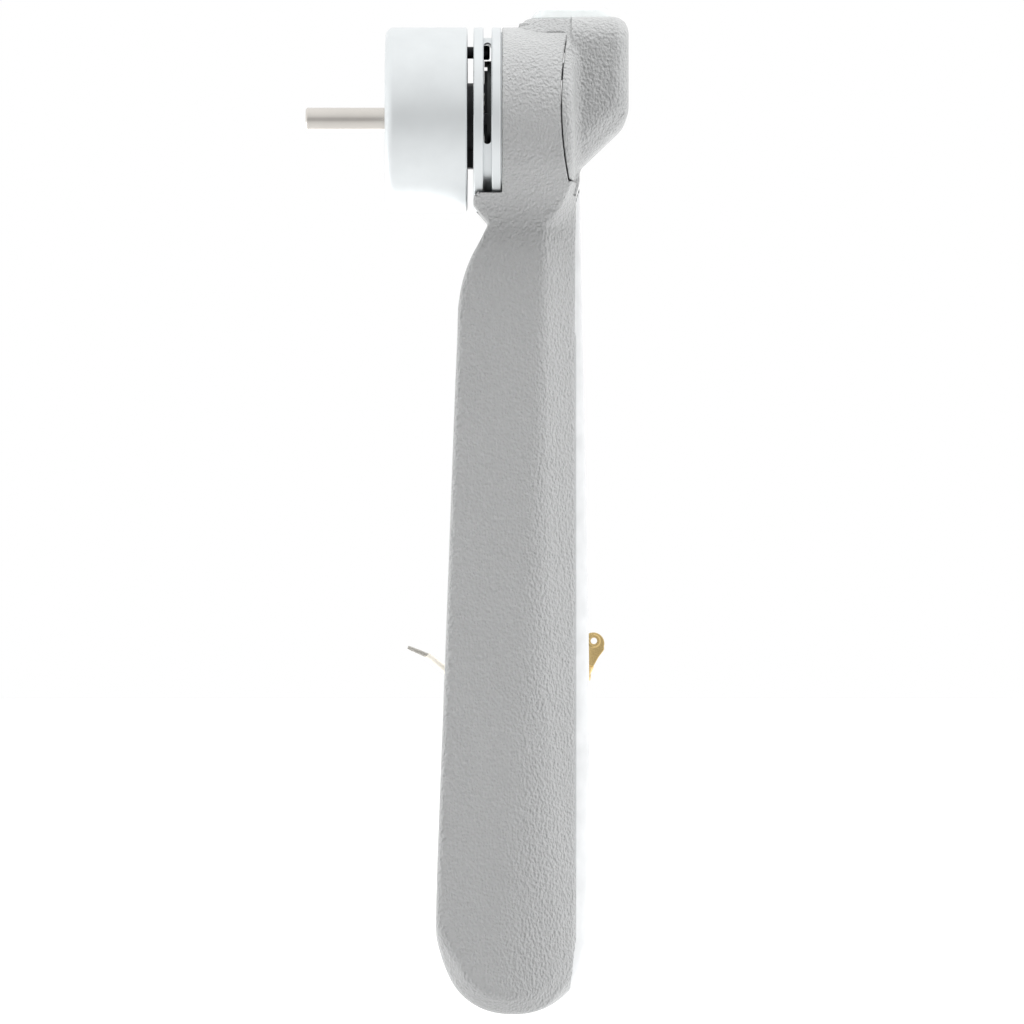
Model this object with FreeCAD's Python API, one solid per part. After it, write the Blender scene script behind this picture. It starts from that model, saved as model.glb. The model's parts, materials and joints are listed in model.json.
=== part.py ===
import FreeCAD, Part

import math
import os

# Lever handle of a window sash, in millimetres, each piece in its own STEP file.
#
# The spindle lies along X and points to -X, into the sash. The origin is on the spindle's axis, on the
# rosette's back face. Z is up and the grip hangs down, as it does with the window shut. Three bodies:
# the rosette stands still, the lever turns with the spindle, and the button slides down into the head.

V = FreeCAD.Vector

# Spindle
SPINDLE_R = 3.0
SPINDLE_FREE = 20.0
JOURNAL_R = 4.0
SQUARE_HALF = 3.45
RUNNING_GAP = 0.05

# Rosette
ROSETTE_R = 23.0
ROSETTE_FACE = 20.4
FLOOR = 5.0
CAVITY_R = 18.9
MOUTH_R = 20.0
MOUNT_HOLE_R = 1.65
MOUNT_SPACING = 32.0
FLANGE_T = 2.3
FLANGE_FRONT = 20.3
BOSS_R = 9.1
BOSS_FRONT = 21.85
TAB_BOTTOM = 12.25
BUSH_R = 5.5

# Detent inside the rosette
DETENT_R = 12.2
DETENT_FACE = 8.0
DETENT_BALL_R = 2.0
DETENT_CIRCLE = 9.0
ROTOR_BACK = 9.6
ROTOR_FRONT = 15.4
POCKET_R = 2.1

# Stop pin and spool
PIN_R = 1.5
PIN_CIRCLE = 16.7
PIN_END = 26.0
PIN_HEAD_R = 1.8
SLOT_HALF = 1.85
SPOOL_BACK = 22.0
DRUM_BACK = 24.4
DRUM_FRONT = 26.5
SPOOL_FRONT = 28.8
SPOOL_SEAT_R = 21.8
DRUM_R = 20.4
DRUM_BORE_R = 18.7
WINDOW_HALF = 0.95
WINDOW_LOW = -7.0
WINDOW_HIGH = 18.8
BOARD_R = 14.6
BOARD_FLAT = 13.1

# Head and grip
HEAD_BACK = 29.1
HEAD_R = 23.0
NECK_ANGLE = math.radians(39.0)
NECK_R = 16.0
GRIP_HALF = 11.0
SADDLE_R = 23.45
PARTING_R = 95.0
PARTING_X = 43.6
PARTING_Z = 3.0
PARTING_GAP = 0.3
COVER_BOTTOM = -16.0
STRIP_X = 47.6
STRIP_HALF = 5.0
CHANNEL_HALF = 4.4
BOTTOM_BEVEL = 4.4

# Core bar inside the grip
CORE_R = 10.0
CORE_BACK = 36.0
CORE_FRONT = 41.0
CORE_HALF = 4.0
CORE_LOW = -180.0

# Head cover
LENS_FRONT = 47.0
BLOCK_HALF = 15.0
BLOCK_FRONT = 60.6
BLOCK_SHOULDER_R = 7.0
BLOCK_CORNER_R = 4.5
BLOCK_SIDE_R = 4.0
BLOCK_CHAMFER = 5.4
BEZEL_HALF = 6.2
BEZEL_TOP = 25.2
BEZEL_BACK = 33.3

# Button
CAP_BACK = 36.2
CAP_FRONT = 56.9
CAP_HALF = 4.9
CAP_TAPER = 1.8
CAP_LOW = 21.0
CAP_TOP = 27.5
WELL_GAP = 0.25
WELL_FLOOR = 19.0
STEM_X = 50.0
STEM_TIP = 14.3
BUTTON_TRAVEL = 1.2
SWITCH_BOARD_Z = 9.0

# Leads
LEAD_R = 1.0
WHITE_ROUTE = [
    (25.45, 13.4, 6.5),
    (25.45, 23.0, 6.5),
    (25.6, 31.5, 1.5),
    (25.8, 34.5, -8.5),
    (26.2, 32.0, -22.0),
    (27.2, 26.0, -43.0),
    (29.5, 20.5, -68.0),
    (32.5, 17.5, -92.0),
    (35.5, 16.5, -114.0),
    (36.3, 16.3, -129.0),
    (33.0, 16.2, -139.5),
    (26.0, 16.1, -144.0),
    (18.6, 16.0, -141.0),
    (14.25, 16.0, -137.5),
    (10.15, 16.0, -134.25),
]
BRASS_ROUTE = [
    (25.45, 13.4, 3.3),
    (25.45, 21.6, 3.3),
    (25.8, 28.8, -1.4),
    (26.9, 31.2, -10.4),
    (28.9, 28.6, -23.0),
    (31.6, 23.0, -42.0),
    (34.2, 17.6, -66.0),
    (35.0, 14.6, -91.0),
    (33.6, 13.3, -115.0),
    (33.4, 13.0, -134.0),
    (35.2, 13.0, -149.0),
    (41.0, 13.0, -158.4),
    (47.9, 13.0, -158.2),
    (51.1, 13.0, -151.4),
    (50.2, 13.0, -144.8),
    (49.9, 13.0, -140.3),
]
LINK_R = 0.9
LINK_ROUTE = [
    (26.4, 11.2, -7.0),
    (45.5, 11.2, -7.0),
    (51.8, 9.4, -5.0),
    (54.2, 7.8, 1.0),
    (54.2, 7.8, 9.0),
]


def along_x(radius, x0, x1, y=0.0, z=0.0):
    """A cylinder along X from x0 to x1."""
    return Part.makeCylinder(radius, x1 - x0, V(x0, y, z), V(1, 0, 0))


def tube_x(outer, inner, x0, x1, y=0.0, z=0.0):
    return along_x(outer, x0, x1, y, z).cut(along_x(inner, x0 - 1, x1 + 1, y, z))


def cone_x(r0, r1, x0, x1, y=0.0, z=0.0):
    return Part.makeCone(r0, r1, x1 - x0, V(x0, y, z), V(1, 0, 0))


def box(x0, x1, y0, y1, z0, z1):
    return Part.makeBox(x1 - x0, y1 - y0, z1 - z0, V(x0, y0, z0))


def on_circle(radius, degrees):
    """The (y, z) of a point at that angle, from +Y towards +Z."""
    angle = math.radians(degrees)
    return radius * math.cos(angle), radius * math.sin(angle)


def line(a, b):
    return Part.LineSegment(V(*a), V(*b)).toShape()


def arc(a, middle, b):
    return Part.Arc(V(*a), V(*middle), V(*b)).toShape()


def curve(points):
    spline = Part.BSplineCurve()
    spline.interpolate([V(*p) for p in points])
    return spline.toShape()


def prism_y(edges, y0, y1):
    """The outline in the XZ plane, drawn at y = 0, made solid from y0 to y1."""
    face = Part.Face(Part.Wire(edges))
    face.translate(V(0, y0, 0))
    return face.extrude(V(0, y1 - y0, 0))


def polygon_y(points, y0, y1):
    corners = [(x, 0.0, z) for x, z in points]
    edges = [line(a, b) for a, b in zip(corners, corners[1:] + corners[:1])]
    return prism_y(edges, y0, y1)


def pill(x0, x1, half, z0, z1):
    """An upright block with half-round ends in plan."""
    ends = [Part.makeCylinder(half, z1 - z0, V(x, 0, z0)) for x in (x0 + half, x1 - half)]
    return box(x0 + half, x1 - half, -half, half, z0, z1).fuse(ends).removeSplitter()


def joined(shapes):
    """Separate solids that share one file."""
    return Part.makeCompound(shapes)


def countersunk_screw(x_face, length, r, y, z, sign=1):
    """A countersunk screw with a hexagon socket, driven along sign * X from the face it sits flush in."""
    turned = cone_x(2 * r, r, 0, r).fuse(along_x(r, r, length))
    socket = Part.Face(Part.makePolygon([V(0, *on_circle(0.85 * r, 60 * i)) for i in range(7)]))
    screw = turned.cut(socket.extrude(V(0.8 * r, 0, 0)))
    if sign < 0:
        screw.rotate(V(0, 0, 0), V(0, 0, 1), 180)
    screw.translate(V(x_face, y, z))
    return screw


def countersunk_hole(x_face, length, r, y, z, sign=1):
    """The room that such a screw takes."""
    hole = cone_x(2 * r, r, 0, r).fuse(along_x(r, r, length))
    if sign < 0:
        hole.rotate(V(0, 0, 0), V(0, 0, 1), 180)
    hole.translate(V(x_face, y, z))
    return hole


def cap_screw(x_seat, length, r, y, z, sign=1):
    """A socket-head screw whose head sits on the face at x_seat and whose shank runs along sign * X."""
    head = along_x(1.8 * r, -1.6 * r, 0)
    socket = Part.Face(Part.makePolygon([V(-1.6 * r, *on_circle(0.9 * r, 60 * i)) for i in range(7)]))
    screw = head.fuse(along_x(r, 0, length)).cut(socket.extrude(V(r, 0, 0)))
    if sign < 0:
        screw.rotate(V(0, 0, 0), V(0, 0, 1), 180)
    screw.translate(V(x_seat, y, z))
    return screw


def coil(mean_r, wire_r, height, turns, base, direction):
    """A round wire wound into a spring, standing on base along direction."""
    helix = Part.makeHelix((height - 2 * wire_r) / turns, height - 2 * wire_r, mean_r)
    start = V(mean_r, 0, 0)
    section = Part.Wire(Part.makeCircle(wire_r, start, V(0, 1, 0)))
    spring = Part.Wire(helix).makePipeShell([section], True, True)
    spring.translate(V(0, 0, wire_r))
    spring.Placement = FreeCAD.Placement(V(*base), FreeCAD.Rotation(V(0, 0, 1), V(*direction))).multiply(
        spring.Placement
    )
    return spring


def routed_tube(name, route, radius):
    """A tube along straight runs joined by arcs, each arc as large as its two runs allow."""
    points = [V(*p) for p in route]
    edges, radii, here, length = [], [], points[0], 0.0
    for before, corner, after in zip(points, points[1:], points[2:]):
        back, ahead = before - corner, after - corner
        run = min(back.Length, ahead.Length)
        back.normalize()
        ahead.normalize()
        turn = math.pi - back.getAngle(ahead)
        arc_r = 0.45 * run / math.tan(turn / 2)
        into, out = corner + back * (0.45 * run), corner + ahead * (0.45 * run)
        inward = back + ahead
        inward.normalize()
        middle = corner + inward * (arc_r / math.cos(turn / 2) - arc_r)
        edges += [Part.LineSegment(here, into).toShape(), Part.Arc(into, middle, out).toShape()]
        radii.append(arc_r)
        length += (into - here).Length + arc_r * turn
        here = out
    edges.append(Part.LineSegment(here, points[-1]).toShape())
    length += (points[-1] - here).Length
    first = points[1] - points[0]
    section = Part.Wire(Part.makeCircle(radius, points[0], first))
    tube = Part.Wire(edges).makePipeShell([section], True, False)
    expected = math.pi * radius**2 * length
    print(name, "length %.1f" % length, "radii", [round(r, 1) for r in radii])
    print(name, "volume %.1f" % tube.Volume, "section times length %.1f" % expected)
    return tube


# ---- Rosette: the part that stands still ----

FLANGE_BACK = FLANGE_FRONT - FLANGE_T
LUG_CIRCLE = 15.6
LUG_ANGLES = (35.0, 145.0, 215.0, 325.0)
LUG_R = 3.2
FLANGE_SCREW_R = 1.25
MAGNET_AT = on_circle(7.2, 180.0)


def rosette_housing():
    cup = along_x(ROSETTE_R, 0, ROSETTE_FACE)
    back_rim = [e for e in cup.Edges if len(e.Vertexes) == 1 and abs(e.CenterOfMass.x) < 0.01]
    front_rim = [e for e in cup.Edges if len(e.Vertexes) == 1 and e.CenterOfMass.x > ROSETTE_FACE - 0.01]
    cup = cup.makeFillet(2.2, back_rim)
    front_rim = [
        e
        for e in cup.Edges
        if e.CenterOfMass.x > ROSETTE_FACE - 0.01 and e.BoundBox.YLength > ROSETTE_R
    ]
    cup = cup.makeChamfer(0.35, front_rim)
    cavity = along_x(CAVITY_R, FLOOR, ROSETTE_FACE + 1)
    for angle in LUG_ANGLES:
        cavity = cavity.cut(along_x(LUG_R, FLOOR - 1, FLANGE_BACK, *on_circle(LUG_CIRCLE, angle)))
    mouth = along_x(MOUTH_R, FLANGE_BACK, ROSETTE_FACE + 1)
    cup = cup.cut(cavity).cut(mouth).cut(along_x(BUSH_R, -1, FLOOR + 1))
    for side in (1, -1):
        cup = cup.cut(along_x(MOUNT_HOLE_R, -1, FLOOR + 1, 0, side * MOUNT_SPACING / 2))
    for angle in LUG_ANGLES:
        cup = cup.cut(along_x(FLANGE_SCREW_R, FLOOR + 4, FLANGE_BACK + 1, *on_circle(LUG_CIRCLE, angle)))
    return cup


def front_bush():
    return tube_x(BUSH_R, JOURNAL_R + RUNNING_GAP, 0.4, FLOOR)


def detent_ring():
    ring = tube_x(DETENT_R, 6.2, FLOOR, DETENT_FACE)
    for angle in (0, 90, 180, 270):
        y, z = on_circle(DETENT_CIRCLE, angle)
        ring = ring.cut(Part.makeSphere(DETENT_BALL_R + 0.3, V(DETENT_FACE + 1.0, y, z)))
    for angle in (45, 225):
        ring = ring.cut(along_x(1.0, FLOOR - 1, DETENT_FACE + 1, *on_circle(DETENT_CIRCLE, angle)))
    return ring


def bearing_flange():
    plate = along_x(MOUTH_R - 0.15, FLANGE_BACK, FLANGE_FRONT)
    boss = along_x(BOSS_R, FLANGE_FRONT - 0.5, BOSS_FRONT)
    tab = box(FLANGE_FRONT - 0.5, BOSS_FRONT, -4.2, 4.2, -TAB_BOTTOM, 0)
    flange = plate.fuse([boss, tab]).removeSplitter()
    flange = flange.cut(along_x(BUSH_R, FLANGE_BACK - 1, BOSS_FRONT + 1))
    flange = flange.cut(along_x(PIN_R, FLANGE_BACK - 1, BOSS_FRONT + 1, 0, PIN_CIRCLE))
    flange = flange.cut(along_x(1.2, FLANGE_FRONT, BOSS_FRONT + 1, *MAGNET_AT))
    for angle in LUG_ANGLES:
        y, z = on_circle(LUG_CIRCLE, angle)
        flange = flange.cut(countersunk_hole(FLANGE_FRONT, 9, FLANGE_SCREW_R, y, z, -1))
    return flange


def flange_screws():
    return joined(
        [
            countersunk_screw(FLANGE_FRONT, 9, FLANGE_SCREW_R, *on_circle(LUG_CIRCLE, angle), -1)
            for angle in LUG_ANGLES
        ]
    )


def rear_bush():
    sleeve = tube_x(BUSH_R, JOURNAL_R + RUNNING_GAP, FLANGE_BACK, BOSS_FRONT - 0.1)
    collar = tube_x(7.0, JOURNAL_R + RUNNING_GAP, FLANGE_BACK - 1.2, FLANGE_BACK)
    return sleeve.fuse(collar).removeSplitter()


def stop_pin():
    """The pin that stops the lever, thicker where it stands inside the drum."""
    pin = along_x(PIN_R, FLANGE_BACK, DRUM_BACK + 0.2, 0, PIN_CIRCLE)
    head = along_x(PIN_HEAD_R, DRUM_BACK + 0.1, PIN_END, 0, PIN_CIRCLE)
    tip = [e for e in head.Edges if e.CenterOfMass.x > PIN_END - 0.01 and len(e.Vertexes) == 1]
    return pin.fuse(head.makeFillet(0.5, tip))


def sensor_magnet():
    return along_x(1.2, FLANGE_FRONT, BOSS_FRONT - 0.05, *MAGNET_AT)


# ---- Spindle and detent: turn inside the rosette ----

DETENT_ANGLES = (0.0, 180.0)
ROTOR_PIN_X = 13.6
ROTOR_PIN_R = 0.9
SPINDLE_END = CORE_FRONT
SPINDLE_SCREW_R = 2.0


def spindle():
    shaft = along_x(SPINDLE_R, -SPINDLE_FREE, 0.6)
    tip = [e for e in shaft.Edges if e.CenterOfMass.x < -SPINDLE_FREE + 0.01 and len(e.Vertexes) == 1]
    shaft = shaft.makeChamfer(0.4, tip)
    journal = along_x(JOURNAL_R, 0.6, CORE_BACK)
    square = box(CORE_BACK, SPINDLE_END, -SQUARE_HALF, SQUARE_HALF, -SQUARE_HALF, SQUARE_HALF)
    square = square.common(along_x(JOURNAL_R, CORE_BACK, SPINDLE_END))
    shaft = shaft.fuse([journal, square]).removeSplitter()
    cross = Part.makeCylinder(ROTOR_PIN_R, 30, V(ROTOR_PIN_X, 0, -15))
    return shaft.cut(cross).cut(along_x(SPINDLE_SCREW_R, SPINDLE_END - 10, SPINDLE_END + 1))


def detent_rotor():
    rotor = tube_x(DETENT_R - 0.2, JOURNAL_R, ROTOR_BACK, ROTOR_FRONT)
    for angle in DETENT_ANGLES:
        y, z = on_circle(DETENT_CIRCLE, angle)
        rotor = rotor.cut(along_x(POCKET_R, ROTOR_BACK - 1, ROTOR_FRONT - 1, y, z))
    return rotor.cut(Part.makeCylinder(ROTOR_PIN_R, 30, V(ROTOR_PIN_X, 0, -15)))


def rotor_pin():
    return Part.makeCylinder(ROTOR_PIN_R, 23, V(ROTOR_PIN_X, 0, -11.5))


BALL_X = DETENT_FACE + 0.3 + DETENT_BALL_R


def detent_balls():
    centres = [V(BALL_X, *on_circle(DETENT_CIRCLE, angle)) for angle in DETENT_ANGLES]
    return joined([Part.makeSphere(DETENT_BALL_R, centre) for centre in centres])


def detent_springs():
    low = BALL_X + DETENT_BALL_R
    return joined(
        [
            coil(1.5, 0.25, ROTOR_FRONT - 1 - low, 3, (low, *on_circle(DETENT_CIRCLE, angle)), (1, 0, 0))
            for angle in DETENT_ANGLES
        ]
    )


# ---- Spool between rosette and head ----

SPOOL_SCREW_R = 1.25
SPOOL_SCREW_CIRCLE = 10.6
SPOOL_SCREW_ANGLES = (50.0, 180.0, 290.0)
SPOOL_SCREW_LENGTH = 14.0


def spool_disc(x0, x1):
    disc = along_x(HEAD_R, x0, x1)
    rims = [e for e in disc.Edges if len(e.Vertexes) == 1 and e.BoundBox.YLength > HEAD_R]
    disc = disc.makeFillet(0.3, rims)
    return disc.cut(along_x(JOURNAL_R, x0 - 1, x1 + 1))


def screwed(shape):
    for angle in SPOOL_SCREW_ANGLES:
        y, z = on_circle(SPOOL_SCREW_CIRCLE, angle)
        shape = shape.cut(countersunk_hole(SPOOL_BACK, SPOOL_SCREW_LENGTH, SPOOL_SCREW_R, y, z))
    return shape


def spool_front_disc():
    """The disc next to the rosette, with the half-round slot in which the stop pin runs."""
    disc = spool_disc(SPOOL_BACK, DRUM_BACK)
    slot = tube_x(PIN_CIRCLE + SLOT_HALF, PIN_CIRCLE - SLOT_HALF, SPOOL_BACK - 1, DRUM_BACK + 1)
    slot = slot.common(box(SPOOL_BACK - 1, DRUM_BACK + 1, -30, 0, -30, 30))
    for z in (PIN_CIRCLE, -PIN_CIRCLE):
        slot = slot.fuse(along_x(SLOT_HALF, SPOOL_BACK - 1, DRUM_BACK + 1, 0, z))
    return screwed(disc.cut(slot))


def spool_drum():
    """The recessed ring between the discs, with a long window through both its sides."""
    drum = tube_x(DRUM_R, DRUM_BORE_R, DRUM_BACK, DRUM_FRONT)
    middle = (DRUM_BACK + DRUM_FRONT) / 2
    window = box(
        middle - WINDOW_HALF,
        middle + WINDOW_HALF,
        -30,
        30,
        WINDOW_LOW + WINDOW_HALF,
        WINDOW_HIGH - WINDOW_HALF,
    )
    for z in (WINDOW_LOW + WINDOW_HALF, WINDOW_HIGH - WINDOW_HALF):
        window = window.fuse(Part.makeCylinder(WINDOW_HALF, 60, V(middle, -30, z), V(0, 1, 0)))
    return drum.cut(window)


def spool_rear_disc():
    """The disc next to the head; a low seat keeps its rim just clear of the head."""
    seat = tube_x(SPOOL_SEAT_R, JOURNAL_R, SPOOL_FRONT - 0.5, HEAD_BACK)
    disc = spool_disc(DRUM_FRONT, SPOOL_FRONT).fuse(seat).removeSplitter()
    return screwed(disc).cut(along_x(LINK_R + 0.3, DRUM_FRONT - 1, HEAD_BACK + 1, *LINK_ROUTE[0][1:]))


def spool_screws():
    places = [on_circle(SPOOL_SCREW_CIRCLE, angle) for angle in SPOOL_SCREW_ANGLES]
    length, r = SPOOL_SCREW_LENGTH, SPOOL_SCREW_R
    return joined([countersunk_screw(SPOOL_BACK, length, r, y, z) for y, z in places])


BOARD_BACK = DRUM_FRONT - 1.1
BOARD_FRONT = DRUM_FRONT - 0.1


def sensor_board():
    board = tube_x(BOARD_R, JOURNAL_R + 1.2, BOARD_BACK, BOARD_FRONT)
    board = board.cut(box(BOARD_BACK - 1, BOARD_FRONT + 1, BOARD_FLAT, 30, -30, 30))
    for angle in SPOOL_SCREW_ANGLES:
        board = board.cut(
            along_x(SPOOL_SCREW_R, BOARD_BACK - 1, BOARD_FRONT + 1, *on_circle(SPOOL_SCREW_CIRCLE, angle))
        )
    return board


def board_chips():
    """Low parts on the board's back: (y, z, width, height) of each."""
    places = [
        (-10.4, 5.0, 1.8, 7.2),
        (-10.4, -4.7, 1.8, 6.0),
        (-12.7, -0.5, 1.2, 2.6),
        (-7.4, 2.2, 2.0, 3.0),
        (-5.8, 10.3, 3.0, 3.0),
        (0.0, 13.8, 2.6, 1.4),
        (-6.0, -10.4, 3.2, 2.4),
        (9.6, 0.4, 3.6, 3.0),
        (0.0, -12.4, 4.0, 2.0),
    ]
    return joined(
        [
            box(BOARD_BACK - 0.75, BOARD_BACK, y - w / 2, y + w / 2, z - h / 2, z + h / 2)
            for y, z, w, h in places
        ]
    )


# ---- Lever: grip, head, core ----

NECK_CENTRE_Y = GRIP_HALF + NECK_R
NECK_CENTRE_Z = (NECK_CENTRE_Y * math.cos(NECK_ANGLE) - HEAD_R - NECK_R) / math.sin(NECK_ANGLE)
GRIP_FRONT_TOP = (21.95, -21.4)
GRIP_FRONT_WAIST = (25.8, -25.7)
GRIP_FRONT_LOW = (12.7, -192.0)
GRIP_REAR_TOP = (48.5, -15.7)
GRIP_REAR_LOW = (51.0, -195.0)


def front_outline(x0, x1):
    """Head circle, tangent neck and parallel-sided grip as seen along X, made solid from x0 to x1."""
    c, s = math.cos(NECK_ANGLE), math.sin(NECK_ANGLE)
    tangent = (HEAD_R * c, -HEAD_R * s)
    neck = (NECK_CENTRE_Y - NECK_R * c, NECK_CENTRE_Z + NECK_R * s)
    half = NECK_ANGLE / 2
    bend = (NECK_CENTRE_Y - NECK_R * math.cos(half), NECK_CENTRE_Z + NECK_R * math.sin(half))
    side = (GRIP_HALF, NECK_CENTRE_Z)
    foot = (GRIP_HALF, -230.0)

    def right(p):
        return (x0, p[0], p[1])

    def left(p):
        return (x0, -p[0], p[1])

    edges = [
        arc(left(tangent), (x0, 0, HEAD_R), right(tangent)),
        line(right(tangent), right(neck)),
        arc(right(neck), right(bend), right(side)),
        line(right(side), right(foot)),
        line(right(foot), left(foot)),
        line(left(foot), left(side)),
        arc(left(side), left(bend), left(neck)),
        line(left(neck), left(tangent)),
    ]
    return Part.Face(Part.Wire(edges)).extrude(V(x1 - x0, 0, 0))


def side_outline(y0, y1):
    """The whole lever as seen along Y, from the saddle's lip round the foot to the back of the head."""
    lip_top = (GRIP_FRONT_TOP[0], 0, 30)
    lip = (GRIP_FRONT_TOP[0], 0, GRIP_FRONT_TOP[1])
    waist = (GRIP_FRONT_WAIST[0], 0, GRIP_FRONT_WAIST[1])
    belly = [
        waist,
        (23.9, 0, -30.0),
        (21.2, 0, -35.1),
        (19.4, 0, -40.1),
        (18.3, 0, -46.0),
        (17.9, 0, -55.0),
    ]
    front_low = (GRIP_FRONT_LOW[0], 0, GRIP_FRONT_LOW[1])
    rear_low = (GRIP_REAR_LOW[0], 0, GRIP_REAR_LOW[1])
    foot = [
        front_low,
        (12.7, 0, -203.0),
        (15.4, 0, -212.8),
        (22.6, 0, -221.2),
        (31.8, 0, -223.5),
        (41.2, 0, -221.3),
        (48.7, 0, -213.0),
        (50.7, 0, -203.0),
        rear_low,
    ]
    back = [rear_low, (51.25, 0, -170.0), (50.5, 0, -110.0), (49.0, 0, -45.0)]
    rear_top = (GRIP_REAR_TOP[0], 0, GRIP_REAR_TOP[1])
    head_top = (GRIP_REAR_TOP[0], 0, 30)
    edges = [
        line(lip_top, lip),
        line(lip, waist),
        curve(belly),
        line(belly[-1], front_low),
        curve(foot),
        curve(back),
        line(back[-1], rear_top),
        line(rear_top, head_top),
        line(head_top, lip_top),
    ]
    return prism_y(edges, y0, y1)


def foot_bevelled(solid):
    """The long bevel where the flat sides meet the round foot."""
    foot = []
    for edge in solid.Edges:
        middle = edge.valueAt((edge.FirstParameter + edge.LastParameter) / 2)
        if abs(abs(middle.y) - GRIP_HALF) > 0.01:
            continue
        if middle.z < -215:
            foot.append(edge)
    return solid.makeChamfer(BOTTOM_BEVEL, foot)


def facet(side):
    """The wedge that slants each side of the grip and crowns the strip along its back."""
    sections = []
    for z, x, y, x_in in (
        (-16.4, 46.3, 17.5, 48.2),
        (-27.0, 39.4, 11.2, 47.6),
        (-60.0, 38.9, 11.2, 47.4),
        (-150.0, 36.6, 11.2, 47.4),
        (-224.0, 36.6, 11.2, 47.4),
    ):
        crown = [(x_in, STRIP_HALF), (x_in + 1.9, 3.5), (x_in + 3.8, 0.6), (56, 0.6)]
        corners = [(x, y)] + crown + [(56, 25), (x, 25)]
        ring = [V(a, side * b, z) for a, b in corners]
        sections.append(Part.makePolygon(ring + ring[:1]))
    return Part.makeLoft(sections, True, True)


def parting_cylinder(gap):
    """The large cylinder along Y that the head and its cover share, grown by gap."""
    centre = V(PARTING_X + PARTING_R, -40, PARTING_Z)
    return Part.makeCylinder(PARTING_R + gap, 80, centre, V(0, 1, 0))


def lever_blank():
    """Head, neck and grip with foot bevel and side facets, before the covers are split off."""
    blank = foot_bevelled(side_outline(-GRIP_HALF, GRIP_HALF))
    low = blank.common(box(0, 60, -30, 30, -230, NECK_CENTRE_Z))
    high = side_outline(-30, 30).common(front_outline(10, 60)).common(box(0, 60, -30, 30, NECK_CENTRE_Z, 40))
    blank = low.fuse(high).removeSplitter()
    for side in (1, -1):
        blank = blank.cut(facet(side))
    return blank


STRIP_FOOT = (46.2, -216.6)
STRIP_BEND = (STRIP_X, -205.0)


def strip_room(gap):
    """All that lies behind the strip's joint line, grown by gap towards the front."""
    points = [
        (STRIP_X - gap, COVER_BOTTOM - 3.3),
        (STRIP_X - gap, STRIP_BEND[1]),
        (STRIP_FOOT[0] - gap, STRIP_FOOT[1]),
        (60.0, -223.0),
        (60.0, COVER_BOTTOM - 3.3),
    ]
    return polygon_y(points, -30, 30)


COVER_SCREW_R = 1.5
COVER_SCREW_PLACES = ((-12.6, 12.0), (12.6, 12.0))
CORE_SCREW_R = 1.5
CORE_SCREW_PLACES = ((0.0, 7.4), (0.0, -60.0), (0.0, -168.0))


def grip_shell():
    shell = lever_blank().cut(strip_room(0.0))
    shell = shell.cut(along_x(SADDLE_R, 0, HEAD_BACK))
    above = box(0, 70, -30, 30, COVER_BOTTOM, 40)
    shell = shell.cut(parting_cylinder(0.0).common(above))
    tail = box(44.0, 60, -8.3, 8.3, COVER_BOTTOM - 3.3, COVER_BOTTOM + 1)
    shell = shell.cut(tail)
    # Bore of the spindle, seat and channel of the core, slot for the bezel's tongue, cable and screw holes.
    shell = shell.cut(along_x(JOURNAL_R, 20, 60))
    shell = shell.cut(along_x(CORE_R + 0.5, CORE_BACK, 60))
    shell = shell.cut(box(CORE_BACK, 60, -CHANNEL_HALF, CHANNEL_HALF, CORE_LOW - 6, 0))
    shell = shell.cut(box(BEZEL_BACK - 0.2, 60, -BEZEL_HALF - 0.2, BEZEL_HALF + 0.2, 17.0, 30))
    shell = shell.cut(along_x(LINK_R + 0.3, 20, 60, *LINK_ROUTE[0][1:]))
    for y, z in COVER_SCREW_PLACES:
        shell = shell.cut(countersunk_hole(HEAD_BACK, 22, COVER_SCREW_R, y, z))
    for y, z in CORE_SCREW_PLACES:
        shell = shell.cut(along_x(CORE_SCREW_R, CORE_BACK - 5, CORE_BACK + 1, y, z))
    return screwed(shell)


def rear_cover():
    """The strip that closes the channel, round at its edges, with a rib that snaps in."""
    strip = lever_blank().common(strip_room(-0.15))
    rib = box(STRIP_X - 3.0, STRIP_X + 0.4, -CHANNEL_HALF + 0.1, CHANNEL_HALF - 0.1, CORE_LOW - 4, -24)
    groove = box(STRIP_X - 4.0, STRIP_X + 0.1, -CHANNEL_HALF + 1.6, CHANNEL_HALF - 1.6, CORE_LOW - 2, -26)
    return strip.fuse(rib.cut(groove)).removeSplitter()


def lever_core():
    """The steel bar that carries the turning force from the grip to the square of the spindle."""
    ring = along_x(CORE_R, CORE_BACK, CORE_FRONT)
    bar = box(CORE_BACK, CORE_FRONT, -CORE_HALF, CORE_HALF, CORE_LOW, 0)
    core = ring.fuse(bar).removeSplitter()
    square = box(CORE_BACK, CORE_FRONT, -SQUARE_HALF, SQUARE_HALF, -SQUARE_HALF, SQUARE_HALF)
    core = core.cut(square.common(along_x(JOURNAL_R, CORE_BACK, CORE_FRONT)))
    for y, z in CORE_SCREW_PLACES:
        core = core.cut(along_x(CORE_SCREW_R, CORE_BACK - 1, CORE_FRONT + 1, y, z))
    return core


def core_screws():
    length = CORE_FRONT - CORE_BACK + 5
    return joined([cap_screw(CORE_FRONT, length, CORE_SCREW_R, y, z, -1) for y, z in CORE_SCREW_PLACES])


def spindle_washer():
    return tube_x(4.6, SPINDLE_SCREW_R, CORE_FRONT, CORE_FRONT + 0.8)


def spindle_screw():
    return cap_screw(CORE_FRONT + 0.8, 9.0, SPINDLE_SCREW_R, 0, 0, -1)


# ---- Head cover and button ----


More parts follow.
